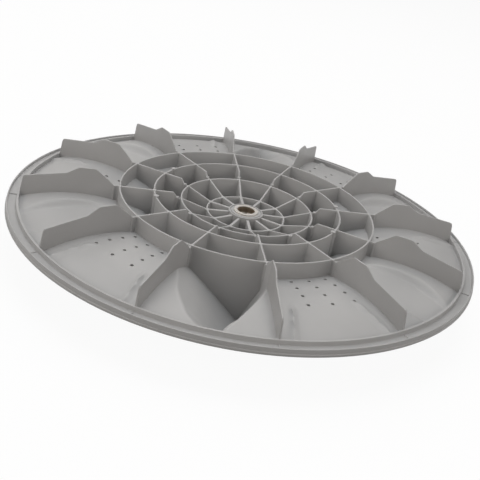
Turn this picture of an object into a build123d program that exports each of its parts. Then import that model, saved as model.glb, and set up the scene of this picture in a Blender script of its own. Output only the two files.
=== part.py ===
"""Washing machine pulsator: a ribbed plastic disc with a splined metal bush in its hub.

The part lies on the flat of its dome, with its ribbed back up. The origin is under its centre, on the
surface that it rests on, and +Z runs up along the drive shaft's axis. Lengths are in millimetres.
"""
import os
from math import cos, pi, radians, sin, sqrt, tan

from build123d import *

# Heights are given as drops below the plane of the two outer ring ribs' crests.
crest_height = 60.5
wall = 2.5

# Floor of the disc: a round crown between the dome and the rim.
crown_radius = 148.4
crown_drop = 10.8
crown_curve = 154.0
dome_foot_radius = 88.0
dome_foot_fillet = 30.0
dome_flat_radius = 56.0
dome_flat_fillet = 16.0

# Rim: a rib on its inner edge, a groove with a gusset behind each vane, a lip and an outer flange.
rim_inner_radius = 199.5
rim_rib_width = 2.0
rim_rib_drop = 15.0
groove_width = 6.2
groove_drop = 19.0
lip_width = 1.5
lip_drop = 16.1
flange_width = 1.2
flange_drop = 19.8
rim_base_drop = 22.0
gusset_width = 1.0
gusset_drop = 17.4

# Ring ribs, from the outer one in: radius of the crest's middle, and its drop.
ring_ribs = ((115.0, 0.0), (84.6, 0.0), (59.7, 5.1), (35.3, 12.8))
rib_width = 1.6
rib_draft = 0.5

# Radial ribs: level, then a steep step to a small bead, then a slope to the hub.
rib_count = 12
radial_rib_width = 1.7
step_top_radius = 67.5
step_foot_radius = 63.5
step_foot_drop = 5.0
spoke_width = 2.6
spoke_drop = 12.5
bead_radius = 1.4
bead_rise = 0.5
post_radius = 2.0
post_rise = 0.7
post_angles = (20.4, 69.4, 204.9, 245.2)

# Vanes outside the outer ring rib: a post at the inner end, a peak and a long low tail.
vane_width = 1.6
vane_post_place = 120.0
vane_post_radius = 1.4
vane_link_width = 1.0
vane_peak_start = 136.5
vane_peak_end = 151.0
vane_peak_rise = 13.1
vane_waist_place = 161.0
vane_waist_rise = 6.8
vane_tip_place = 197.3
vane_tip_rise = 0.2
vane_tip_fillet = 1.5
vane_peak_fillet = 3.0
vane_end_radius = 200.0

# Drain holes in every second sector. The first column's angle is counted from the rib behind it in
# one kind of sector and from the rib ahead of it in the other, and the two kinds take turns.
hole_radius = 1.5
hole_rows = (122.2, 134.6, 147.0, 159.4)
hole_columns = 3
hole_first_column = 4.9
hole_column_pitch = 7.4
hole_sectors = (30.0, 90.0)
hole_field_repeats = 3

# Wings: two deep hollows, opposite each other, which stand out as blades on the wash side.
# Each station gives its distance out, then the valley's drop and width, and the drop of the hollow's
# side where it meets the rib behind it and the rib ahead of it.
wing_sector_start = 120.0
wing_heading = 133.2
wing_valley_side = 14.8
wing_stations = (
    (60.0, 57.4, 2.0, 34.0, 45.0),
    (112.0, 54.4, 6.0, 18.0, 22.9),
    (128.0, 48.2, 5.0, 12.4, 14.5),
    (158.0, 35.8, 2.5, 3.2, 11.8),
    (178.0, 27.5, 1.5, 1.5, 15.8),
    (200.0, 18.5, 1.0, 16.9, 20.4),
)

# Petals: four shallow oval pans, which stand out as pads on the wash side.
petal_angles = (15.0, 75.0, 195.0, 255.0)
petal_place = 165.0
petal_drop = 17.2
petal_half_length = 50.0
petal_half_width = 25.0
petal_tilt = 5.7
petal_side_slope = 38.0
petal_side_rise = 9.0

# Hub, and the splined bush moulded into it.
hub_radius = 15.8
hub_drop = 10.9
hub_rim_width = 1.4
hub_groove_width = 0.8
hub_groove_depth = 1.0
bush_radius = 11.0
bush_length = 26.0
bush_proud = 1.1
bush_groove_depth = 0.8
bush_groove_width = 3.0
pilot_radius = 8.0
pilot_length = 6.0
spline_root_radius = 7.9
spline_tip_radius = 6.7
spline_teeth = 16
spline_space_share = 0.55
spline_flank_angle = 78.0
screw_hole_radius = 4.5
screw_recess_radius = 12.5
screw_recess_depth = 16.0

# Lengths that follow from the ones above.
sector = 360.0 / rib_count
dome_floor_drop = crest_height - wall
rim_rib_radius = rim_inner_radius + rim_rib_width
groove_radius = rim_rib_radius + groove_width
lip_radius = groove_radius + lip_width
outer_radius = lip_radius + flange_width
crown_centre_drop = crown_drop + crown_curve

# Extents of the solids that the moulding is worked from, clear of the finished part, and how far
# pieces that are joined or cut together reach into each other.
block_top_rise = vane_peak_rise + 2.0
work_top_rise = block_top_rise + wall + 2.0
work_reach = outer_radius + 10.0
work_depth = crest_height + 10.0
seam = 0.3
overlap = 1.0


def level(drop):
    """Height of a point that lies the given drop below the crest plane."""
    return crest_height - drop


def floor_drop(radius):
    """Drop of the crown's floor at a radius."""
    return crown_centre_drop - sqrt(crown_curve**2 - (radius - crown_radius) ** 2)


def ring_section(points):
    """Closed half section through the given points, each a radius and a drop."""
    with BuildSketch(Plane.XZ) as section:
        with BuildLine():
            Polyline(*[(radius, level(drop)) for radius, drop in points], close=True)
        make_face()
    return section.sketch


def space_over_floor(grow, top_rise):
    """Half section of the open space above the disc, grown downwards and outwards."""
    reach = rim_rib_radius + overlap
    centre = Vector(crown_radius, level(crown_centre_drop))
    arc_radius = crown_curve - grow
    flat_end = Vector(dome_flat_radius, level(dome_floor_drop))
    run = (Vector(dome_foot_radius, level(floor_drop(dome_foot_radius))) - flat_end).normalized()
    away = Vector(run.Y, -run.X)
    corner = flat_end + away * grow - run * (grow * (1 + away.Y) / run.Y)
    to_corner = corner - centre
    along = -to_corner.dot(run) + sqrt(to_corner.dot(run) ** 2 - to_corner.length**2 + arc_radius**2)
    foot = corner + run * along
    crown_top = Vector(crown_radius, centre.Y + arc_radius)
    crown_end = Vector(reach, centre.Y + sqrt(arc_radius**2 - (reach - crown_radius) ** 2))
    with BuildSketch(Plane.XZ) as section:
        with BuildLine():
            Polyline((0, level(-top_rise)), (0, corner.Y), corner, foot)
            ThreePointArc(foot, crown_top, crown_end)
            Polyline(crown_end, (reach, level(-top_rise)), (0, level(-top_rise)))
        make_face()
        corner_vertex = section.vertices().sort_by_distance((corner.X, corner.Y, 0))[0]
        fillet(corner_vertex, dome_flat_fillet + grow)
        foot_vertex = section.vertices().sort_by_distance((foot.X, foot.Y, 0))[0]
        fillet(foot_vertex, dome_foot_fillet - grow)
    return section.sketch


def wing_section(station, grow):
    """Cross-section of one wing's hollow at a station, grown by a wall."""
    along, valley_drop, valley_width, back_drop, front_drop = station
    back = -along * tan(radians(wing_heading - wing_sector_start))
    front = along * tan(radians(wing_sector_start + sector - wing_heading))
    heading = Vector(cos(radians(wing_heading)), sin(radians(wing_heading)), 0)
    across = Vector(-sin(radians(wing_heading)), cos(radians(wing_heading)), 0)
    with BuildSketch(Plane(origin=heading * along, x_dir=across, z_dir=heading)) as section:
        with BuildLine():
            Polyline(
                (back, level(-block_top_rise)),
                (back, level(back_drop)),
                (wing_valley_side, level(valley_drop)),
                (wing_valley_side + valley_width, level(valley_drop)),
                (front, level(front_drop)),
                (front, level(-block_top_rise)),
                close=True,
            )
        make_face()
        if grow > 0:
            offset(amount=grow, kind=Kind.INTERSECTION)
    return section.sketch


def make_wing(grow):
    """Both wings' hollows, or with a wall's growth the blades that they make on the wash side."""
    with BuildPart() as wing:
        loft([wing_section(station, grow).face() for station in wing_stations], ruled=True)
    with BuildPart() as wings:
        with PolarLocations(0, 2):
            add(wing.part)
    return wings.part


def make_petals(grow):
    """The four petals' hollows, or with a wall's growth the pads that they make on the wash side."""
    tilt = radians(petal_tilt)
    pan = Plane(
        origin=(petal_place, 0, level(petal_drop)),
        x_dir=(cos(tilt), 0, -sin(tilt)),
        z_dir=(sin(tilt), 0, cos(tilt)),
    )
    spread = grow * tan(radians(petal_side_slope / 2))
    flare = spread + (petal_side_rise + grow) / tan(radians(petal_side_slope))
    with BuildPart() as petal:
        with BuildSketch(pan.offset(-grow)):
            Ellipse(petal_half_length + spread, petal_half_width + spread)
        with BuildSketch(pan.offset(petal_side_rise)):
            Ellipse(petal_half_length + flare, petal_half_width + flare)
        loft()
    with BuildPart() as petals:
        with Locations(*[Location((0, 0, 0), (0, 0, angle)) for angle in petal_angles]):
            add(petal.part)
    return petals.part


def make_bush_envelope():
    """Outside of the metal bush, with the two grooves that anchor it in the plastic."""
    top = hub_drop - bush_proud
    neck = bush_radius - bush_groove_depth
    pitch = bush_length / 3
    points = [(0, top), (bush_radius, top)]
    for row in (1, 2):
        upper = top + pitch * row - bush_groove_width / 2
        lower = upper + bush_groove_width
        points += [(bush_radius, upper), (neck, upper), (neck, lower), (bush_radius, lower)]
    points += [(bush_radius, top + bush_length), (0, top + bush_length)]
    with BuildPart() as envelope:
        add(ring_section(points))
        revolve(axis=Axis.Z)
    return envelope.part


# Solid block: the disc's wash side and rim, filled in above to beyond the vanes' peaks.
with BuildPart() as block:
    add(space_over_floor(wall, block_top_rise))
    revolve(axis=Axis.Z)
    add(make_wing(wall))
    add(make_petals(wall))
    with Locations((0, 0, -work_depth)):
        Cylinder(
            rim_inner_radius - seam,
            2 * work_depth + work_top_rise,
            align=(Align.CENTER, Align.CENTER, Align.MIN),
            mode=Mode.INTERSECT,
        )
    add(
        ring_section(
            (
                (rim_inner_radius - seam - overlap, rim_base_drop),
                (outer_radius, rim_base_drop),
                (outer_radius, flange_drop),
                (lip_radius, flange_drop),
                (lip_radius, lip_drop),
                (groove_radius, lip_drop),
                (groove_radius, groove_drop),
                (rim_rib_radius, groove_drop),
                (rim_rib_radius, -block_top_rise),
                (rim_inner_radius - seam - overlap, -block_top_rise),
            )
        )
    )
    revolve(axis=Axis.Z)
    with BuildSketch(Plane.XY.offset(level(gusset_drop))):
        with PolarLocations((rim_rib_radius + groove_radius) / 2, rib_count):
            Rectangle(groove_width + 2 * seam, gusset_width)
    extrude(amount=gusset_drop - rim_base_drop + seam)

# One radial rib with its vane: plates on the rib's own upright plane.
with BuildPart() as radial_rib:
    foot = work_depth
    with BuildSketch(Plane.XZ):
        with BuildLine():
            Polyline(
                (0, level(foot)),
                (0, level(spoke_drop)),
                (hub_radius, level(spoke_drop)),
                (ring_ribs[3][0], level(ring_ribs[3][1])),
                (ring_ribs[2][0], level(ring_ribs[2][1])),
                (step_foot_radius, level(step_foot_drop)),
                (step_top_radius, level(0)),
                (ring_ribs[0][0], level(0)),
                (ring_ribs[0][0], level(foot)),
                close=True,
            )
        make_face()
    extrude(amount=radial_rib_width / 2, both=True)
    with BuildSketch(Plane.XZ):
        with BuildLine():
            Polyline(
                (0, level(foot)),
                (0, level(spoke_drop)),
                (hub_radius, level(spoke_drop)),
                (ring_ribs[3][0], level(ring_ribs[3][1])),
                (ring_ribs[3][0], level(foot)),
                close=True,
            )
        make_face()
    extrude(amount=spoke_width / 2, both=True)
    with BuildSketch(Plane.XZ):
        with Locations((ring_ribs[0][0], level(0))):
            Rectangle(
                vane_post_place - ring_ribs[0][0],
                foot,
                align=(Align.MIN, Align.MAX),
            )
    extrude(amount=vane_link_width / 2, both=True)
    with BuildSketch(Plane.XZ) as vane_outline:
        with BuildLine():
            Polyline(
                (vane_post_place, level(foot)),
                (vane_post_place, level(0)),
                (vane_peak_start, level(-vane_peak_rise)),
                (vane_peak_end, level(-vane_peak_rise)),
                (vane_waist_place, level(-vane_waist_rise)),
                (vane_tip_place, level(-vane_tip_rise)),
                (vane_end_radius, level(rim_rib_drop)),
                (vane_end_radius, level(foot)),
                close=True,
            )
        make_face()
        for corner, radius in (
            ((vane_peak_start, level(-vane_peak_rise), 0), vane_peak_fillet),
            ((vane_peak_end, level(-vane_peak_rise), 0), vane_peak_fillet),
            ((vane_tip_place, level(-vane_tip_rise), 0), vane_tip_fillet),
        ):
            fillet(vane_outline.vertices().sort_by_distance(corner)[0], radius)
    extrude(amount=vane_width / 2, both=True)
    with BuildSketch(Plane.XY.offset(level(foot))):
        with Locations((vane_post_place, 0)):
            Circle(vane_post_radius)
    extrude(amount=foot)
    with BuildSketch(Plane.XY.offset(level(foot))):
        with Locations((step_foot_radius, 0)):
            Circle(bead_radius)
    extrude(amount=foot - step_foot_drop + bead_rise)

# All that stands in the hollow: ring ribs, radial ribs with vanes, small posts and the hub.
with BuildPart() as ribwork:
    for ring_radius, ring_drop in ring_ribs:
        root = rib_width / 2 + (work_depth - ring_drop) * tan(radians(rib_draft))
        add(
            ring_section(
                (
                    (ring_radius - rib_width / 2, ring_drop),
                    (ring_radius + rib_width / 2, ring_drop),
                    (ring_radius + root, work_depth),
                    (ring_radius - root, work_depth),
                )
            )
        )
        revolve(axis=Axis.Z)
    with PolarLocations(0, rib_count):
        add(radial_rib.part)
    hub_face = hub_radius - hub_rim_width
    hub_seat = hub_face - hub_groove_width
    add(
        ring_section(
            (
                (0, work_depth),
                (0, hub_drop),
                (hub_seat, hub_drop),
                (hub_seat, hub_drop + hub_groove_depth),
                (hub_face, hub_drop + hub_groove_depth),
                (hub_face, hub_drop),
                (hub_radius, hub_drop),
                (hub_radius, work_depth),
            )
        )
    )
    revolve(axis=Axis.Z)
    with BuildSketch(Plane.XY.offset(level(work_depth))):
        for angle in post_angles:
            with PolarLocations(ring_ribs[1][0], 1, start_angle=angle):
                Circle(post_radius)
    extrude(amount=work_depth - ring_ribs[1][1] + post_rise)

# The open space that is cut from the block: everything above the floor apart from the ribwork.
with BuildPart() as cavity:
    add(space_over_floor(0, work_top_rise))
    revolve(axis=Axis.Z)
    add(make_wing(0))
    add(make_petals(0))
    with Locations((0, 0, -work_depth)):
        Cylinder(
            rim_inner_radius,
            2 * work_depth + work_top_rise,
            align=(Align.CENTER, Align.CENTER, Align.MIN),
            mode=Mode.INTERSECT,
        )
    add(
        ring_section(
            (
                (rim_inner_radius - overlap, rim_rib_drop),
                (work_reach, rim_rib_drop),
                (work_reach, -work_top_rise),
                (rim_inner_radius - overlap, -work_top_rise),
            )
        )
    )
    revolve(axis=Axis.Z)
    add(ribwork.part, mode=Mode.SUBTRACT)

# The plastic moulding, with its drain holes, the bush's seat and the fixing screw's recess.
with BuildPart() as pulsator_disc:
    add(block.part)
    add(cavity.part, mode=Mode.SUBTRACT)
    with BuildSketch(Plane.XY.offset(level(crown_drop - wall))):
        for row_radius in hole_rows:
            for column in range(hole_columns):
                turn = hole_first_column + hole_column_pitch * column
                for start in (hole_sectors[0] + sector - turn, hole_sectors[1] + turn):
                    with PolarLocations(row_radius, hole_field_repeats, start_angle=start):
                        Circle(hole_radius)
    extrude(amount=crown_drop - wall - rim_base_drop, mode=Mode.SUBTRACT)
    add(make_bush_envelope(), mode=Mode.SUBTRACT)
    with BuildSketch(Plane.XY):
        Circle(screw_hole_radius)
    extrude(amount=crest_height - hub_drop, mode=Mode.SUBTRACT)
    with BuildSketch(Plane.XY):
        Circle(screw_recess_radius)
    extrude(amount=screw_recess_depth, mode=Mode.SUBTRACT)

# The metal bush: a plain pilot bore over internal spline teeth.
with BuildPart() as splined_bush:
    add(make_bush_envelope())
    bush_top = level(hub_drop - bush_proud)
    with BuildSketch(Plane.XY.offset(bush_top)):
        Circle(spline_tip_radius)
    extrude(amount=-bush_length, mode=Mode.SUBTRACT)
    with BuildSketch(Plane.XY.offset(bush_top)):
        space_height = spline_root_radius - spline_tip_radius + overlap
        space_foot = spline_space_share * 2 * pi * spline_tip_radius / spline_teeth
        with PolarLocations(spline_tip_radius - overlap + space_height / 2, spline_teeth):
            Trapezoid(space_foot, space_height, spline_flank_angle, rotation=-90)
    extrude(amount=-bush_length, mode=Mode.SUBTRACT)
    with BuildSketch(Plane.XY.offset(bush_top)):
        Circle(pilot_radius)
    extrude(amount=-pilot_length, mode=Mode.SUBTRACT)

pulsator_disc.part.label = "pulsator_disc"
splined_bush.part.label = "splined_bush"

os.makedirs("parts", exist_ok=True)
export_step(pulsator_disc.part, "parts/pulsator_disc.step")
export_step(splined_bush.part, "parts/splined_bush.step")
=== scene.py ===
"""Looks of a washing machine pulsator: a ribbed grey plastic disc with a metal bush in its hub.

Sizes are in millimetres and angles in degrees. Heights count from the plane of the two outer ring
ribs' crests, so that most of them are negative. Meshes are turned into metres in the part's own
frame when they are made.
"""

from math import cos, pi, radians, sin, tan

import bmesh
import bpy
import numpy as np
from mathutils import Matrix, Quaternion, Vector


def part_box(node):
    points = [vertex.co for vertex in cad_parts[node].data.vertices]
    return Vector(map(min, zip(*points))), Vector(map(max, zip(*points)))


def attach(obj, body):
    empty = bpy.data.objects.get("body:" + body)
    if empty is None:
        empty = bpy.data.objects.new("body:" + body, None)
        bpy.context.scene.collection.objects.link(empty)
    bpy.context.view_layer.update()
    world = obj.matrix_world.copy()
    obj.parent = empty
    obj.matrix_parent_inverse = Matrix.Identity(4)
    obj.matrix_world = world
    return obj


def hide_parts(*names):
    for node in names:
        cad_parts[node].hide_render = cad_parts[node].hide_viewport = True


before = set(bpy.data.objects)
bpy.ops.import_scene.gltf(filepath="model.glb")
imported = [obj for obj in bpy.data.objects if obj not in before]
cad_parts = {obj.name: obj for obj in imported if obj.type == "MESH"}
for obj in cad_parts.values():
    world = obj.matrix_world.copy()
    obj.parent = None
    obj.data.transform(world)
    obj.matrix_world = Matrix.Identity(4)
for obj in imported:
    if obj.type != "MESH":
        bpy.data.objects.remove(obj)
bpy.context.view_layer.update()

MILLIMETRE = 0.001

# Disc
WALL = 2.5
CROWN_RADIUS = 148.4
CROWN_DROP = 10.8
CROWN_CURVE = 154.0
DOME_FOOT_RADIUS = 88.0
DOME_FLAT_RADIUS = 56.0
DOME_FLOOR = -58.0
DOME_FLAT_BLEND = 7.5
DOME_FOOT_BLEND = 4.4

# Rim: its section runs up the inner wall, over the inner rib, through the groove, over the lip and
# down the flange to its foot
RIM_INNER_RADIUS = 199.5
RIM_OUTER_RADIUS = 210.4
RIM_FOOT_RISE = 0.2
RIM_BASE = -22.5
RIM_SECTION = (
    (RIM_INNER_RADIUS, -16.6), (RIM_INNER_RADIUS, -15.3), (199.62, -15.08), (199.85, -15.0),
    (201.15, -15.0), (201.38, -15.08), (201.5, -15.3), (201.6, -18.4), (201.75, -18.8),
    (202.1, -19.0), (204.5, -19.05), (207.9, -19.0), (208.2, -18.85), (208.35, -18.4),
    (208.4, -17.0), (208.55, -16.65), (208.8, -16.5), (209.2, -16.5), (209.5, -16.65),
    (209.65, -17.0), (209.7, -19.9), (209.78, -20.2), (210.3, -20.55),
    (RIM_OUTER_RADIUS, -20.8), (RIM_OUTER_RADIUS, -22.1), (210.3, -22.4), (210.0, RIM_BASE),
    (199.2, RIM_BASE),
)

# Ribs
SECTORS = 12
SECTOR = 360.0 / SECTORS
RING_RIBS = ((115.0, 0.0), (84.6, 0.0), (59.7, -5.1), (35.3, -12.8))
RIB_WIDTH = 1.6
RIB_DRAFT = 0.5
RADIAL_RIB_WIDTH = 1.7
RADIAL_RIB_CREST = (
    (15.0, -12.5), (35.3, -12.8), (59.7, -5.1), (63.5, -5.0), (67.5, 0.0), (115.0, 0.0),
)
RADIAL_RIB_CORNER = 0.8
SPOKE_WIDTH = 2.6
SPOKE_CREST = ((14.5, -12.45), (35.6, -12.75))
LINK_WIDTH = 1.0
LINK_CREST = ((114.8, -0.15), (120.2, -0.15))
VANE_WIDTH = 1.4
VANE_CREST = (
    (120.0, 0.0), (136.5, 13.1), (151.0, 13.1), (161.0, 6.8), (196.7, 0.3), (198.0, -1.2),
    (200.0, -15.2),
)
VANE_CORNER = 1.6
VANE_POST_RADIUS = 1.4
VANE_POST_RISE = 0.05
BEAD_PLACE = 63.5
BEAD_RADIUS = 1.7
BEAD_CREST = -4.2
POST_ANGLES = (20.4, 69.4, 204.9, 245.2)
POST_RADIUS = 2.3
POST_CREST = 1.0
NODES = ((115.0, 1.7), (84.6, 1.8), (35.3, 2.0))
NODE_RISE = 0.03
GUSSET_HALF_WIDTH = 0.5
GUSSET_HALF_TOP = 0.3
GUSSET_ROOT = RIM_BASE + 1.0
GUSSET_CREST = ((201.2, -18.3), (208.6, -18.3))
CHAMFER = 0.25
CREST_ROUNDING = 0.5
ROOT_DEPTH = 1.2

# Drain holes, in every second sector: the columns' angles from the rib behind or from the one ahead
HOLE_RADIUS = 1.5
HOLE_ROWS = (122.2, 134.6, 147.0, 159.4)
HOLE_OFFSETS = (4.9, 12.3, 19.7)
HOLES_FROM_BEHIND = (90.0, 210.0, 330.0)
HOLES_FROM_AHEAD = (60.0, 180.0, 300.0)
HOLE_CUT = (-30.0, -5.0)

# Wings: each is a hollow along one heading. Its stations give a distance out, the valley's height,
# how far to the sides its two edges on the crown lie, and how softly the front one is rounded.
WING_SECTORS = (120.0, 300.0)
WING_HEADING = 133.2
WING_LEAD = 6.0
WING_STATIONS = (
    (112.0, -56.6, -35.0, 38.1, 0.5),
    (125.0, -55.0, -32.0, 39.0, 0.5),
    (135.0, -53.0, -30.2, 38.4, 0.5),
    (147.0, -50.0, -27.2, 36.6, 0.5),
    (160.0, -46.0, -24.6, 33.0, 0.6),
    (173.0, -40.5, -18.9, 28.4, 0.8),
    (180.0, -37.0, -14.9, 25.0, 4.0),
    (184.0, -34.5, -12.6, 21.4, 7.0),
    (192.6, -26.0, -5.2, 17.9, 6.0),
    (200.0, -18.6, 2.0, 15.0, 4.0),
)
WING_FRONT_SLOPE = 66.5
WING_BACK_BULGE = 0.25
WING_VALLEY_BLEND = 2.4
WING_BACK_BLEND = 0.9

# Petals
PETAL_ANGLES = (15.0, 75.0, 195.0, 255.0)
PETAL_PLACE = 165.0
PETAL_FLOOR = -17.2
PETAL_HALF_LENGTH = 50.0
PETAL_HALF_WIDTH = 22.5
PETAL_TILT = 5.7
PETAL_SLOPE = 46.0
PETAL_FOOT_BLEND = 2.0
PETAL_EDGE_BLEND = 1.6

# Soft ridges beside the vanes
RIDGE_LINE = ((162.0, 5.2), (172.0, 4.7), (183.0, 4.1), (193.0, 3.6), (200.0, 3.3))
RIDGE_START = (156.0, 168.0)
RIDGE_HALF_WIDTHS = (1.6, 3.0)
RIDGE_RISE = 2.0

# Hub: its face has a groove, given by radius and depth
HUB_RADIUS = 15.8
HUB_FOOT_RADIUS = 16.1
HUB_CREST = -10.9
HUB_GROOVE = ((13.5, 0.0), (13.7, 0.9), (14.4, 0.9), (14.6, 0.0))
BUSH_RADIUS = 11.0
BUSH_FOOT = -35.8
SCREW_HOLE_RADIUS = 4.5
RECESS_RADIUS = 12.5
RECESS_TOP = -44.5
CUT_OVERRUN = 2.0

# Mesh: the disc's rows as start, end and number, its columns in each kind of sector, and facets
INSIDE_ROWS = ((12.0, 52.0, 4), (56.0, 112.0, 14))
OUTSIDE_ROWS = ((113.2, 198.4, 60), (199.0, 199.35, 2))
UNDERSIDE_ROWS = ((198.2, 113.0, 20), (108.0, 20.0, 10))
WING_COLUMNS = 76
PETAL_COLUMNS = 38
HOLE_SECTOR_SIDE = (0.0, 0.24, 12)
HOLE_SECTOR_MIDDLE = (0.31, 0.69, 5)
COLUMN_MARGIN = 0.2
INNER_RING_STEP = 2.0
PLATE_STEP = 5.0
CREST_FACETS = 3
CORNER_FACETS = 4
POST_FACETS = 20
HOLE_FACETS = 16
HUB_FACETS = 96
WALL_PROBES = (0.4, 0.75, 1.0)
WALL_PROBE_TURNS = 16
SHARP_ANGLE = 40.0
TINY = 1e-6

# Sockets of a Mix node that mixes colours: three inputs and its output
MIX_FACTOR, MIX_A, MIX_B, MIX_RESULT = 0, 6, 7, 2

# Plastic: its two shades, the range of noise that runs between them, and its own roughness. The
# noises for its mottle, its flow marks and its grain each have a scale, a detail and a roughness.
PLASTIC_DARK = (0.410, 0.408, 0.407)
PLASTIC_LIGHT = (0.440, 0.438, 0.437)
PLASTIC_MOTTLE_RANGE = (0.3, 0.7)
PLASTIC_ROUGHNESS = (0.36, 0.46)
PLASTIC_IOR = 1.48
PLASTIC_NOISES = ((18.0, 3.0, 0.55), (140.0, 4.0, 0.6), (2600.0, 2.0, 0.5))
GRAIN_STRENGTH = 0.25
GRAIN_DEPTH = 0.08

# Metal of the bush: its tint at shares of a depth under its top, with one band painted near white
# as a highlight on the teeth's ends, and its roughness
BUSH_TINT_DEPTH = 10.0
BUSH_ROUGHNESS = (0.3, 0.5)
BUSH_NOISE_SCALE = 900.0
BUSH_NOISE_SHARE = 0.06
BUSH_TINTS_AND_PAINTED_HIGHLIGHT = (
    (0.00, (0.80, 0.79, 0.77)),
    (0.05, (0.80, 0.79, 0.77)),
    (0.09, (0.66, 0.56, 0.45)),
    (0.56, (0.60, 0.50, 0.40)),
    # Near white: painted highlight on the teeth's ends
    (0.59, (0.95, 0.95, 0.94)),
    (0.63, (0.95, 0.95, 0.94)),
    (0.72, (0.45, 0.40, 0.35)),
)

# Lamps, all at one distance from the part's middle: name, azimuth, elevation, watts and tint. The
# matte ones light the part but leave no gloss on it.
MATTE_LAMPS = ("overhead",)
LAMP_DISTANCE = 1800.0
LAMP_SIZE = 1100.0
WARM = (1.0, 0.95, 0.90)
COOL = (0.955, 0.98, 1.0)
LAMPS = (
    ("overhead", 0.0, 90.0, 14.6, COOL),
    ("left_low", 90.0, 25.0, 9.4, WARM),
    ("front_low", 180.0, 25.0, 6.0, WARM),
    ("right_low", 225.0, 25.0, 4.3, WARM),
    ("left_back_low", 45.0, 25.0, 2.7, WARM),
    ("back_low", 345.0, 25.0, 2.6, WARM),
    ("back_high", 315.0, 52.0, 7.5, WARM),
    ("left_back_high", 15.0, 52.0, 3.3, COOL),
)
AMBIENT_TINT = (1.0, 0.97, 0.94)
AMBIENT_STRENGTH = 0.05

# Floor: pale where the camera or a gloss sees it, mostly by its own glow, and dim to the part
FLOOR_REACH = 3000.0
FLOOR_PALE = 0.9
FLOOR_DIM = 0.12
FLOOR_GLOW_SHARE = 0.94

# Camera: its place and what it looks at, its lean, and its sensor and lens
CAMERA_PLACE = (-511.02, 452.70, 289.62)
CAMERA_TARGET = (-62.72, 55.84, 0.0)
CAMERA_LEAN = 11.02
CAMERA_SENSOR = 36.0
CAMERA_LENS = 61.55

CREST_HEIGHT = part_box("pulsator_disc")[1].z / MILLIMETRE - VANE_CREST[1][1]


def smooth_min(first, second, blend):
    """The lower of two heights, rounded where they cross."""
    share = np.clip(0.5 + 0.5 * (second - first) / blend, 0.0, 1.0)
    return second * (1 - share) + first * share - blend * share * (1 - share)


def smooth_max(first, second, blend):
    """The higher of two heights, rounded where they cross."""
    return -smooth_min(-first, -second, blend)


def smooth_curve(place, stations):
    """Smooth curve through stations, each a place and a value, with no overshoot between them."""
    xs, ys = (np.array(column, float) for column in zip(*stations))
    steps = np.diff(ys) / np.diff(xs)
    slopes = np.concatenate(([steps[0]], np.zeros(len(steps) - 1), [steps[-1]]))
    same_way = steps[:-1] * steps[1:] > 0
    mean = 2 * steps[:-1] * steps[1:] / np.where(same_way, steps[:-1] + steps[1:], 1.0)
    slopes[1:-1] = np.where(same_way, mean, 0.0)
    place = np.clip(place, xs[0], xs[-1])
    left = np.clip(np.searchsorted(xs, place, side="right") - 1, 0, len(xs) - 2)
    width = xs[left + 1] - xs[left]
    t = (place - xs[left]) / width
    rise = (1 + 2 * t) * (1 - t) ** 2 * ys[left] + t * t * (3 - 2 * t) * ys[left + 1]
    return rise + width * (t * (1 - t) ** 2 * slopes[left] - t * t * (1 - t) * slopes[left + 1])


def crown_height(radius):
    """Height of the round crown between the dome and the rim."""
    return -(CROWN_DROP + CROWN_CURVE) + np.sqrt(CROWN_CURVE**2 - (radius - CROWN_RADIUS) ** 2)


def wing_height(x, y, crown):
    """Height of the crown with the first wing's hollow in it: a wide back slope, a steep front."""
    heading = radians(WING_HEADING)
    along = x * cos(heading) + y * sin(heading)
    across = y * cos(heading) - x * sin(heading)
    valley, back_edge, front_edge, front_blend = (
        smooth_curve(along, [(station[0], station[column]) for station in WING_STATIONS])
        for column in (1, 2, 3, 4)
    )
    steepness = tan(radians(WING_FRONT_SLOPE))
    valley_side = front_edge - (crown_height(np.hypot(along, front_edge)) - valley) / steepness
    back_height = crown_height(np.hypot(along, back_edge))
    share = (across - back_edge) / (valley_side - back_edge)
    share = share * (1 - WING_BACK_BULGE) + share * np.abs(share) * WING_BACK_BULGE
    back_slope = back_height + (valley - back_height) * share
    front_slope = valley + (across - valley_side) * steepness
    hollow = smooth_max(back_slope, front_slope, WING_VALLEY_BLEND)
    blend = np.where(across < valley_side, WING_BACK_BLEND, front_blend)
    in_reach = along > WING_STATIONS[0][0] - WING_LEAD
    return np.where(in_reach, smooth_min(crown, hollow, blend), crown)


def petal_height(x, y, angle):
    """Height of one petal's pan and of the slope round it."""
    turn = radians(angle)
    along = x * cos(turn) + y * sin(turn) - PETAL_PLACE
    across = y * cos(turn) - x * sin(turn)
    pan = PETAL_FLOOR - along * tan(radians(PETAL_TILT))
    share = np.hypot(along / PETAL_HALF_LENGTH, across / PETAL_HALF_WIDTH) + TINY
    outside = (share - 1) * np.hypot(along, across) / share
    side = pan + tan(radians(PETAL_SLOPE)) * outside
    return smooth_max(pan, side, PETAL_FOOT_BLEND)


def ridge_rise(radius, angle):
    """Soft ridges that run out to the rim beside the vanes, in the sectors with drain holes."""
    sector = np.floor(angle / SECTOR)
    offset = angle - sector * SECTOR
    offset = np.minimum(offset, SECTOR - offset)
    middle = np.interp(radius, *zip(*RIDGE_LINE))
    half_width = np.interp(radius, (RIDGE_LINE[0][0], RIDGE_LINE[-1][0]), RIDGE_HALF_WIDTHS)
    across = radius * np.radians(offset - middle) / half_width
    fade = np.clip((radius - RIDGE_START[0]) / (RIDGE_START[1] - RIDGE_START[0]), 0, 1)
    rise = RIDGE_RISE * np.exp(-across * across) * fade * fade * (3 - 2 * fade)
    return np.where(sector % 2 == 1, rise, 0.0)


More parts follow.
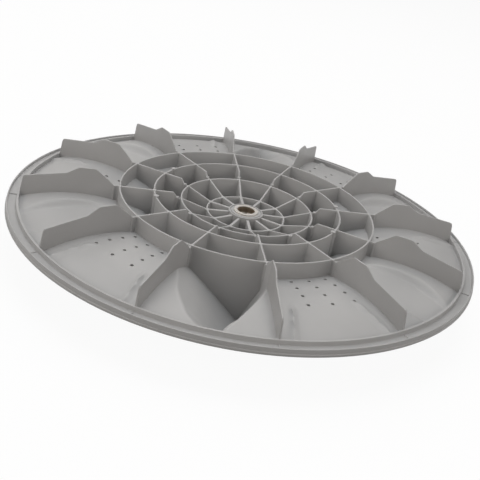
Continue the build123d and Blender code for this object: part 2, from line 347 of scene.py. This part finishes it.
def floor_height(x, y):
    """Height of the disc's floor on the ribbed side."""
    radius = np.hypot(x, y)
    angle = np.degrees(np.arctan2(y, x)) % 360.0
    crown = crown_height(np.maximum(radius, DOME_FLAT_RADIUS))
    foot_height = crown_height(DOME_FOOT_RADIUS)
    steepness = (foot_height - DOME_FLOOR) / (DOME_FOOT_RADIUS - DOME_FLAT_RADIUS)
    side = DOME_FLOOR + (radius - DOME_FLAT_RADIUS) * steepness
    dome = smooth_max(side, np.full_like(side, DOME_FLOOR), DOME_FLAT_BLEND)
    height = smooth_min(crown, dome, DOME_FOOT_BLEND)
    height = height + ridge_rise(radius, angle)
    for petal_angle in PETAL_ANGLES:
        height = smooth_min(height, petal_height(x, y, petal_angle), PETAL_EDGE_BLEND)
    for start in WING_SECTORS:
        sign = 1.0 if start == WING_SECTORS[0] else -1.0
        wing = wing_height(sign * x, sign * y, height)
        height = np.where((angle >= start) & (angle < start + SECTOR), wing, height)
    return height


def wash_height(x, y):
    """Height of the wash side under the floor: a wall's thickness away, square to the floor."""
    height = floor_height(x, y) - WALL
    for reach in WALL_PROBES:
        for turn in np.arange(WALL_PROBE_TURNS) * 2 * pi / WALL_PROBE_TURNS:
            shift = WALL * reach
            moved = floor_height(x + shift * cos(turn), y + shift * sin(turn))
            height = np.minimum(height, moved - np.sqrt(WALL**2 - shift**2))
    return height


def make_object(name, points, faces):
    """Mesh object from points over the crest plane, with its faces turned outwards."""
    points = np.asarray(points, float) * MILLIMETRE
    points[:, 2] += CREST_HEIGHT * MILLIMETRE
    mesh = bpy.data.meshes.new(name)
    mesh.from_pydata(points.tolist(), [], faces)
    work = bmesh.new()
    work.from_mesh(mesh)
    bmesh.ops.recalc_face_normals(work, faces=work.faces)
    work.to_mesh(mesh)
    work.free()
    piece = bpy.data.objects.new(name, mesh)
    bpy.context.scene.collection.objects.link(piece)
    return piece


class Solids:
    """Collects closed solids, to be made into one mesh."""

    def __init__(self):
        self.points = []
        self.faces = []

    def add_rows(self, rows, closed_rows=False):
        """Solid from rows of points round an axis: each row is a loop, or one point at a pole."""
        starts = []
        for row in rows:
            starts.append((len(self.points), len(row)))
            self.points.extend(row)
        pairs = list(zip(starts, starts[1:]))
        if closed_rows:
            pairs.append((starts[-1], starts[0]))
        for (low, low_count), (high, high_count) in pairs:
            count = max(low_count, high_count)
            for i in range(count):
                j = (i + 1) % count
                if low_count == 1:
                    self.faces.append((low, high + j, high + i))
                elif high_count == 1:
                    self.faces.append((low + i, low + j, high))
                else:
                    self.faces.append((low + i, low + j, high + j, high + i))

    def add_bar(self, sections):
        """Solid from cross-sections along a line, closed by its first and last one."""
        first = len(self.points)
        size = len(sections[0])
        for section in sections:
            self.points.extend(section)
        for k in range(len(sections) - 1):
            for i in range(size):
                j = (i + 1) % size
                a, b = first + k * size, first + (k + 1) * size
                self.faces.append((a + i, a + j, b + j, b + i))
        self.faces.append(tuple(first + i for i in range(size)))
        self.faces.append(tuple(first + (len(sections) - 1) * size + i for i in range(size)))

    def make(self, name):
        """Mesh object of all the solids."""
        return make_object(name, self.points, self.faces)


def circle(radius, height, count, centre=(0.0, 0.0)):
    """Points of a level circle."""
    turns = np.arange(count) * 2 * pi / count
    return [(centre[0] + radius * cos(t), centre[1] + radius * sin(t), height) for t in turns]


def column_angles():
    """Angles in radians of the mesh's radial lines: closest in the wings, and none on a rib."""
    angles = []
    for k in range(SECTORS):
        start = k * SECTOR
        if start in WING_SECTORS:
            share = np.linspace(0, 1, WING_COLUMNS)
        elif start + SECTOR / 2 in PETAL_ANGLES:
            share = np.linspace(0, 1, PETAL_COLUMNS)
        else:
            side = np.linspace(*HOLE_SECTOR_SIDE)
            share = np.concatenate((side, np.linspace(*HOLE_SECTOR_MIDDLE), 1 - side[::-1]))
        angles.extend(start + COLUMN_MARGIN + share * (SECTOR - 2 * COLUMN_MARGIN))
    return np.radians(angles)


def row_places(stretches):
    """Radii of the mesh's rows, from stretches that each have a start, an end and a number."""
    return np.concatenate([np.linspace(*stretch) for stretch in stretches])


def make_shell():
    """The disc and its rim, as one closed skin."""
    turns = column_angles()
    cosines, sines = np.cos(turns), np.sin(turns)

    def row(radius, height):
        heights = np.broadcast_to(height, turns.shape)
        return list(zip(radius * cosines, radius * sines, heights))

    rows = [[(0.0, 0.0, DOME_FLOOR)]]
    for radius in row_places(INSIDE_ROWS + OUTSIDE_ROWS):
        rows.append(row(radius, floor_height(radius * cosines, radius * sines)))
    edge_height = floor_height(RIM_INNER_RADIUS * cosines, RIM_INNER_RADIUS * sines)
    rows.append(row(RIM_INNER_RADIUS, edge_height + RIM_FOOT_RISE))
    rows.extend(row(radius, height) for radius, height in RIM_SECTION)
    for radius in row_places(UNDERSIDE_ROWS):
        rows.append(row(radius, wash_height(radius * cosines, radius * sines)))
    rows.append([(0.0, 0.0, DOME_FLOOR - WALL)])
    shell = Solids()
    shell.add_rows(rows)
    return shell.make("pulsator_moulding")


def root_height(x, y, reach, angle):
    """Height just inside the wall, under the lower of the floors on both sides of a rib."""
    first, second = (
        floor_height(x - side * np.sin(angle), y + side * np.cos(angle)) for side in (-reach, reach)
    )
    return np.minimum(first, second) - ROOT_DEPTH


def rounded_crest(half, crest, spread, root):
    """Places across a rib and heights: up one side, over its rounded crest and down the other."""
    side = [(spread, root)]
    for step in range(CREST_FACETS + 1):
        turn = step * pi / (2 * CREST_FACETS)
        inward = CREST_ROUNDING * (1 - cos(turn))
        side.append((half - inward, crest - CREST_ROUNDING * (1 - sin(turn))))
    return [(-across, height) for across, height in side] + side[::-1]


def make_rings():
    """The four ring ribs. The outer one crosses the wings, so it has the disc's own columns."""
    rings = Solids()
    for radius, crest in RING_RIBS:
        if radius == RING_RIBS[0][0]:
            turns = column_angles()
        else:
            turns = np.radians(np.arange(INNER_RING_STEP / 2, 360.0, INNER_RING_STEP))
        cosines, sines = np.cos(turns), np.sin(turns)
        half = RIB_WIDTH / 2
        floor_inside = floor_height((radius - half) * cosines, (radius - half) * sines)
        floor_outside = floor_height((radius + half) * cosines, (radius + half) * sines)
        root = np.minimum(floor_inside, floor_outside) - ROOT_DEPTH
        spread = half + (crest - root) * tan(radians(RIB_DRAFT))
        rows = []
        for across, height in rounded_crest(half, crest, spread, root):
            places = np.broadcast_to(radius + across, turns.shape)
            heights = np.broadcast_to(height, turns.shape)
            rows.append(list(zip(places * cosines, places * sines, heights)))
        rings.add_rows(rows, closed_rows=True)
    return rings.make("rings")


def soften(corners, reach):
    """The same line of corners, with each inner one rounded."""
    points = [corners[0]]
    for before, corner, after in zip(corners, corners[1:], corners[2:]):
        middle = Vector(corner)
        start = middle + (Vector(before) - middle).normalized() * reach
        end = middle + (Vector(after) - middle).normalized() * reach
        for step in range(CORNER_FACETS + 1):
            t = step / CORNER_FACETS
            points.append(tuple(start * (1 - t) ** 2 + middle * 2 * t * (1 - t) + end * t * t))
    return points + [corners[-1]]


def cross_section(place, turn, outline):
    """Points of an upright section square to a radius, from its places to the side and heights."""
    return [
        (place * cos(turn) - side * sin(turn), place * sin(turn) + side * cos(turn), height)
        for side, height in outline
    ]


def add_plate(solids, angle, crest, width):
    """Upright plate along a radius, from under the floor up to its crest line."""
    turn = radians(angle)
    half = width / 2
    corners = np.array(crest)
    places = [corners[0, 0]]
    for start, end in zip(corners[:-1, 0], corners[1:, 0]):
        count = max(1, int((end - start) / PLATE_STEP))
        places.extend(np.linspace(start, end, count + 1)[1:])
    places = np.array(places)
    heights = np.interp(places, corners[:, 0], corners[:, 1])
    roots = root_height(places * cos(turn), places * sin(turn), half, turn)
    sections = []
    for place, height, root in zip(places, heights, roots):
        spread = half + (height - root) * tan(radians(RIB_DRAFT)) / 2
        sections.append(cross_section(place, turn, rounded_crest(half, height, spread, root)))
    solids.add_bar(sections)


def make_plates(name, crest, width):
    """Twelve like plates, one on each rib's angle."""
    plates = Solids()
    for k in range(SECTORS):
        add_plate(plates, k * SECTOR, crest, width)
    return plates.make(name)


def add_post(solids, place, angle, radius, crest):
    """One round post with a chamfered top."""
    centre = (place * cos(radians(angle)), place * sin(radians(angle)))
    floor = floor_height(np.array([centre[0]]), np.array([centre[1]]))[0]
    root = floor - ROOT_DEPTH
    solids.add_rows([
        [(*centre, root)],
        circle(radius, root, POST_FACETS, centre),
        circle(radius, crest - CHAMFER, POST_FACETS, centre),
        circle(radius - CHAMFER, crest, POST_FACETS, centre),
        [(*centre, crest)],
    ])


def make_posts():
    """Small round posts: at the vanes' inner ends, at the ribs' steps and on the second ring."""
    posts = Solids()
    vane_start, vane_start_crest = VANE_CREST[0]
    for k in range(SECTORS):
        vane_post_crest = vane_start_crest + VANE_POST_RISE
        add_post(posts, vane_start, k * SECTOR, VANE_POST_RADIUS, vane_post_crest)
        add_post(posts, BEAD_PLACE, k * SECTOR, BEAD_RADIUS, BEAD_CREST)
    for angle in POST_ANGLES:
        add_post(posts, RING_RIBS[1][0], angle, POST_RADIUS, POST_CREST)
    return posts.make("posts")


def make_nodes():
    """Thicker places where the radial ribs cross the rings."""
    nodes = Solids()
    crests = dict(RING_RIBS)
    for k in range(SECTORS):
        for place, radius in NODES:
            add_post(nodes, place, k * SECTOR, radius, crests[place] + NODE_RISE)
    return nodes.make("nodes")


def make_gussets():
    """Short bridges across the rim's groove, one behind each vane."""
    gussets = Solids()
    for k in range(SECTORS):
        sections = []
        for place, height in GUSSET_CREST:
            side = (
                (GUSSET_HALF_WIDTH, GUSSET_ROOT),
                (GUSSET_HALF_WIDTH, height - CHAMFER),
                (GUSSET_HALF_TOP, height),
            )
            outline = [(-across, z) for across, z in side] + list(side[::-1])
            sections.append(cross_section(place, radians(k * SECTOR), outline))
        gussets.add_bar(sections)
    return gussets.make("gussets")


def make_hub():
    """The hub with the groove in its face, solid until the cutters have hollowed it."""
    hub = Solids()
    foot = DOME_FLOOR - ROOT_DEPTH
    profile = [(radius, HUB_CREST - depth) for radius, depth in HUB_GROOVE]
    profile += [
        (HUB_RADIUS - CHAMFER, HUB_CREST),
        (HUB_RADIUS, HUB_CREST - CHAMFER),
        (HUB_FOOT_RADIUS, foot),
    ]
    rows = [[(0.0, 0.0, HUB_CREST)]]
    rows.extend(circle(radius, height, HUB_FACETS) for radius, height in profile)
    rows.append([(0.0, 0.0, foot)])
    hub.add_rows(rows)
    return hub.make("hub")


def make_cutters():
    """Drain holes, and the stepped hole through the hub."""
    cutters = Solids()
    low, high = HOLE_CUT
    columns = [start + offset for start in HOLES_FROM_BEHIND for offset in HOLE_OFFSETS]
    columns += [start - offset for start in HOLES_FROM_AHEAD for offset in HOLE_OFFSETS]
    for column in columns:
        for place in HOLE_ROWS:
            turn = radians(column)
            centre = (place * cos(turn), place * sin(turn))
            cutters.add_rows([
                [(*centre, low)],
                circle(HOLE_RADIUS, low, HOLE_FACETS, centre),
                circle(HOLE_RADIUS, high, HOLE_FACETS, centre),
                [(*centre, high)],
            ])
    base = DOME_FLOOR - WALL - CUT_OVERRUN
    top = HUB_CREST + CUT_OVERRUN
    profile = (
        (RECESS_RADIUS, base), (RECESS_RADIUS, RECESS_TOP), (SCREW_HOLE_RADIUS, RECESS_TOP),
        (SCREW_HOLE_RADIUS, BUSH_FOOT), (BUSH_RADIUS, BUSH_FOOT), (BUSH_RADIUS, top),
    )
    rows = [[(0.0, 0.0, base)]]
    rows.extend(circle(radius, height, HUB_FACETS) for radius, height in profile)
    rows.append([(0.0, 0.0, top)])
    cutters.add_rows(rows)
    return cutters.make("cutters")


def combine(target, tool, operation):
    """Joins a tool to the target or cuts it away, and deletes the tool."""
    modifier = target.modifiers.new("combine", "BOOLEAN")
    modifier.solver = "MANIFOLD"
    modifier.operation = operation
    modifier.object = tool
    depsgraph = bpy.context.evaluated_depsgraph_get()
    mesh = bpy.data.meshes.new_from_object(target.evaluated_get(depsgraph))
    target.modifiers.clear()
    old = target.data
    target.data = mesh
    bpy.data.meshes.remove(old)
    tool_mesh = tool.data
    bpy.data.objects.remove(tool)
    bpy.data.meshes.remove(tool_mesh)


def make_moulding():
    """The whole plastic moulding, as one closed mesh."""
    moulding = make_shell()
    for tool in (
        make_rings(),
        make_plates("radial_ribs", soften(RADIAL_RIB_CREST, RADIAL_RIB_CORNER), RADIAL_RIB_WIDTH),
        make_plates("spokes", SPOKE_CREST, SPOKE_WIDTH),
        make_plates("links", LINK_CREST, LINK_WIDTH),
        make_plates("vanes", soften(VANE_CREST, VANE_CORNER), VANE_WIDTH),
        make_posts(),
        make_nodes(),
        make_gussets(),
        make_hub(),
    ):
        combine(moulding, tool, "UNION")
    combine(moulding, make_cutters(), "DIFFERENCE")
    moulding.data.shade_smooth()
    moulding.data.set_sharp_from_angle(angle=radians(SHARP_ANGLE))
    return moulding


class Nodes:
    """Short way to add nodes to a material and to link them."""

    def __init__(self, name):
        self.material = bpy.data.materials.new(name)
        self.material.use_nodes = True
        self.tree = self.material.node_tree
        self.tree.nodes.clear()
        self.output = self.tree.nodes.new("ShaderNodeOutputMaterial")

    def add(self, kind, links=None, **values):
        """Node with its input sockets linked, and its properties or sockets set to values."""
        node = self.tree.nodes.new("ShaderNode" + kind)
        for key, value in values.items():
            if hasattr(node, key):
                setattr(node, key, value)
            else:
                node.inputs[key.replace("_", " ")].default_value = value
        for socket, source in (links or {}).items():
            self.tree.links.new(source, node.inputs[socket])
        return node

    def finish(self, links, **values):
        """Principled shader on the material's surface."""
        shader = self.add("BsdfPrincipled", links, **values)
        self.tree.links.new(shader.outputs["BSDF"], self.output.inputs["Surface"])


def plastic_material():
    """Light grey moulded polypropylene: matte, faintly mottled, with a fine spark-eroded grain."""
    nodes = Nodes("grey_plastic")
    place = nodes.add("TexCoord").outputs["Object"]
    mottle, flow, grain = (
        nodes.add("TexNoise", {"Vector": place}, Scale=scale, Detail=detail, Roughness=roughness)
        for scale, detail, roughness in PLASTIC_NOISES
    )
    low, high = PLASTIC_MOTTLE_RANGE
    mix = nodes.add("MapRange", {"Value": mottle.outputs["Fac"]}, From_Min=low, From_Max=high)
    colour = nodes.add("Mix", data_type="RGBA")
    nodes.tree.links.new(mix.outputs["Result"], colour.inputs[MIX_FACTOR])
    colour.inputs[MIX_A].default_value = (*PLASTIC_DARK, 1.0)
    colour.inputs[MIX_B].default_value = (*PLASTIC_LIGHT, 1.0)
    low, high = PLASTIC_ROUGHNESS
    rough = nodes.add("MapRange", {"Value": flow.outputs["Fac"]}, To_Min=low, To_Max=high)
    bump = nodes.add(
        "Bump",
        {"Height": grain.outputs["Fac"]},
        Strength=GRAIN_STRENGTH,
        Distance=GRAIN_DEPTH * MILLIMETRE,
    )
    nodes.finish({
        "Base Color": colour.outputs[MIX_RESULT],
        "Roughness": rough.outputs["Result"],
        "Normal": bump.outputs["Normal"],
    }, IOR=PLASTIC_IOR)
    return nodes.material


def bush_material():
    """Turned metal: a bright collar, a bore with a warm film, and a painted highlight on the ends
    of its teeth.
    """
    nodes = Nodes("bush_metal")
    place = nodes.add("TexCoord").outputs["Object"]
    noise = nodes.add("TexNoise", {"Vector": place}, Scale=BUSH_NOISE_SCALE, Detail=3.0)
    low, high = BUSH_ROUGHNESS
    rough = nodes.add("MapRange", {"Value": noise.outputs["Fac"]}, To_Min=low, To_Max=high)
    height = nodes.add("SeparateXYZ", {"Vector": place})
    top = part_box("splined_bush")[1].z
    depth = nodes.add(
        "MapRange",
        {"Value": height.outputs["Z"]},
        From_Min=top,
        From_Max=top - BUSH_TINT_DEPTH * MILLIMETRE,
    )
    # Tint down the bush by depth, including a band painted near white as a highlight on the teeth's
    # ends
    tint = nodes.add("ValToRGB", {"Fac": depth.outputs["Result"]})
    ramp = tint.color_ramp
    while len(ramp.elements) < len(BUSH_TINTS_AND_PAINTED_HIGHLIGHT):
        ramp.elements.new(0.5)
    for element, (share, colour) in zip(ramp.elements, BUSH_TINTS_AND_PAINTED_HIGHLIGHT):
        element.position = share
        element.color = (*colour, 1.0)
    mottle = nodes.add("Mix", data_type="RGBA")
    nodes.tree.links.new(tint.outputs["Color"], mottle.inputs[MIX_A])
    nodes.tree.links.new(noise.outputs["Color"], mottle.inputs[MIX_B])
    mottle.inputs[MIX_FACTOR].default_value = BUSH_NOISE_SHARE
    nodes.finish({
        "Base Color": mottle.outputs[MIX_RESULT],
        "Roughness": rough.outputs["Result"],
    }, Metallic=1.0)
    return nodes.material


def backdrop_material():
    """Floor that shows nearly white, keeps part of the shadow and throws little light back."""
    nodes = Nodes("white_backdrop")
    path = nodes.add("LightPath")
    seen = nodes.add("Math", operation="MAXIMUM")
    nodes.tree.links.new(path.outputs["Is Camera Ray"], seen.inputs[0])
    nodes.tree.links.new(path.outputs["Is Glossy Ray"], seen.inputs[1])
    diffuse = nodes.add("BsdfDiffuse", Color=(FLOOR_PALE, FLOOR_PALE, FLOOR_PALE, 1.0))
    dim = nodes.add("BsdfDiffuse", Color=(FLOOR_DIM, FLOOR_DIM, FLOOR_DIM, 1.0))
    glow = nodes.add("Emission", Strength=1.0)
    white = nodes.add("MixShader", Fac=FLOOR_GLOW_SHARE)
    nodes.tree.links.new(diffuse.outputs[0], white.inputs[1])
    nodes.tree.links.new(glow.outputs[0], white.inputs[2])
    mix = nodes.add("MixShader")
    nodes.tree.links.new(seen.outputs[0], mix.inputs["Fac"])
    nodes.tree.links.new(dim.outputs[0], mix.inputs[1])
    nodes.tree.links.new(white.outputs[0], mix.inputs[2])
    nodes.tree.links.new(mix.outputs[0], nodes.output.inputs["Surface"])
    return nodes.material


def make_floor():
    """Plain white floor under the part."""
    reach = FLOOR_REACH * MILLIMETRE
    corners = ((-reach, -reach, 0), (reach, -reach, 0), (reach, reach, 0), (-reach, reach, 0))
    mesh = bpy.data.meshes.new("floor")
    mesh.from_pydata(corners, [], [(0, 1, 2, 3)])
    floor = bpy.data.objects.new("floor", mesh)
    bpy.context.scene.collection.objects.link(floor)
    mesh.materials.append(backdrop_material())


def make_world():
    """Even pale light from all round, white where the camera sees it."""
    world = bpy.data.worlds.new("studio")
    bpy.context.scene.world = world
    world.use_nodes = True
    tree = world.node_tree
    tree.nodes.clear()
    output = tree.nodes.new("ShaderNodeOutputWorld")
    path = tree.nodes.new("ShaderNodeLightPath")
    ambient = tree.nodes.new("ShaderNodeBackground")
    ambient.inputs["Color"].default_value = (*AMBIENT_TINT, 1.0)
    ambient.inputs["Strength"].default_value = AMBIENT_STRENGTH
    white = tree.nodes.new("ShaderNodeBackground")
    white.inputs["Color"].default_value = (1.0, 1.0, 1.0, 1.0)
    white.inputs["Strength"].default_value = 1.0
    mix = tree.nodes.new("ShaderNodeMixShader")
    tree.links.new(path.outputs["Is Camera Ray"], mix.inputs["Fac"])
    tree.links.new(ambient.outputs[0], mix.inputs[1])
    tree.links.new(white.outputs[0], mix.inputs[2])
    tree.links.new(mix.outputs[0], output.inputs["Surface"])


def make_light(name, azimuth, elevation, power, colour):
    """Soft square lamp that faces the part's middle."""
    data = bpy.data.lights.new(name, "AREA")
    data.shape = "SQUARE"
    data.size = LAMP_SIZE * MILLIMETRE
    data.energy = power
    data.color = colour
    turn, lift = radians(azimuth), radians(elevation)
    direction = Vector((cos(turn) * cos(lift), sin(turn) * cos(lift), sin(lift)))
    lamp = bpy.data.objects.new(name, data)
    lamp.location = direction * LAMP_DISTANCE * MILLIMETRE
    lamp.rotation_mode = "QUATERNION"
    lamp.rotation_quaternion = (-direction).to_track_quat("-Z", "Y")
    lamp.visible_glossy = name not in MATTE_LAMPS
    bpy.context.scene.collection.objects.link(lamp)


def make_camera():
    """Camera at the photograph's viewpoint, leaning a little to its left."""
    place, target = (
        Vector((x, y, CREST_HEIGHT + z)) * MILLIMETRE for x, y, z in (CAMERA_PLACE, CAMERA_TARGET)
    )
    data = bpy.data.cameras.new("camera")
    data.sensor_width = CAMERA_SENSOR
    data.lens = CAMERA_LENS
    camera = bpy.data.objects.new("camera", data)
    camera.location = place
    camera.rotation_mode = "QUATERNION"
    lean = Quaternion((0, 0, 1), radians(CAMERA_LEAN))
    camera.rotation_quaternion = (target - place).to_track_quat("-Z", "Y") @ lean
    bpy.context.scene.collection.objects.link(camera)
    bpy.context.scene.camera = camera


moulding = make_moulding()
moulding.data.materials.clear()
moulding.data.materials.append(plastic_material())
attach(moulding, "root")
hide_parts("pulsator_disc")

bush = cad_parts["splined_bush"]
bush.data.materials.clear()
bush.data.materials.append(bush_material())

make_floor()
make_world()
for lamp_values in LAMPS:
    make_light(*lamp_values)
make_camera()

bpy.context.scene.view_settings.view_transform = "Standard"
